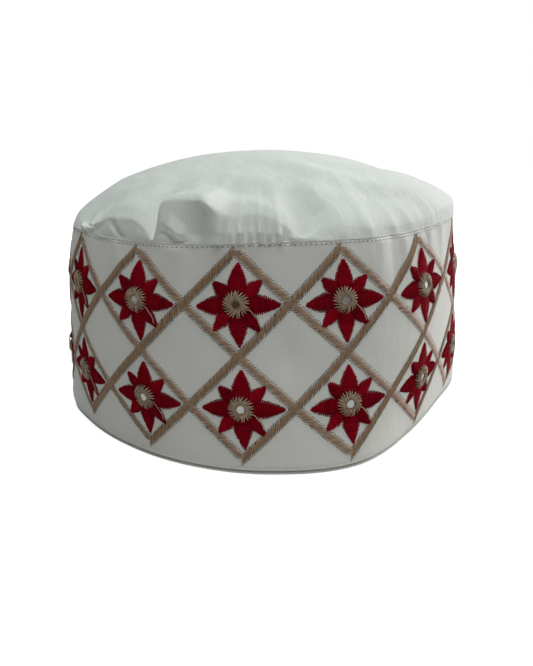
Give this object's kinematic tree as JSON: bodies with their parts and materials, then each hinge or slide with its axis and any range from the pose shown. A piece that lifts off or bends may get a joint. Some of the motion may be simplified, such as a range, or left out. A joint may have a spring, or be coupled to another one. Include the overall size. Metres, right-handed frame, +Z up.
{
  "type": "kufi cap",
  "caption": "Round brimless cap with a tall flared side band, a soft puffed crown with folds, and embroidered flowers with small mirrors in a trellis of diamonds.",
  "frame": {"origin": "middle of the cap's outline on the surface it stands on", "axes": "+Z up through the crown, -Y towards the front that the picture shows, +X to the right of it"},
  "size_m": [0.191, 0.1856, 0.111],
  "materials": {
    "crown_cotton": "matte plain-woven white cotton, unlined and softly creased",
    "band_cotton": "matte plain-woven white cotton over a stiffer core, embroidered",
    "hem_cotton": "matte white cotton, folded and pressed",
    "mirror_glass": "small silvered glass discs, slightly hazy"
  },
  "bodies": {
    "root": {"crown": "crown_cotton", "side_band": "band_cotton", "hem_facing": "hem_cotton", "mirror_upper_01": "mirror_glass", "mirror_upper_02": "mirror_glass", "mirror_upper_03": "mirror_glass", "mirror_upper_04": "mirror_glass", "mirror_upper_05": "mirror_glass", "mirror_upper_06": "mirror_glass", "mirror_upper_07": "mirror_glass", "mirror_upper_08": "mirror_glass", "mirror_upper_09": "mirror_glass", "mirror_upper_10": "mirror_glass", "mirror_upper_11": "mirror_glass", "mirror_upper_12": "mirror_glass", "mirror_upper_13": "mirror_glass", "mirror_upper_14": "mirror_glass", "mirror_lower_01": "mirror_glass", "mirror_lower_02": "mirror_glass", "mirror_lower_03": "mirror_glass", "mirror_lower_04": "mirror_glass", "mirror_lower_05": "mirror_glass", "mirror_lower_06": "mirror_glass", "mirror_lower_07": "mirror_glass", "mirror_lower_08": "mirror_glass", "mirror_lower_09": "mirror_glass", "mirror_lower_10": "mirror_glass", "mirror_lower_11": "mirror_glass", "mirror_lower_12": "mirror_glass", "mirror_lower_13": "mirror_glass", "mirror_lower_14": "mirror_glass"}
  },
  "joints": []
}
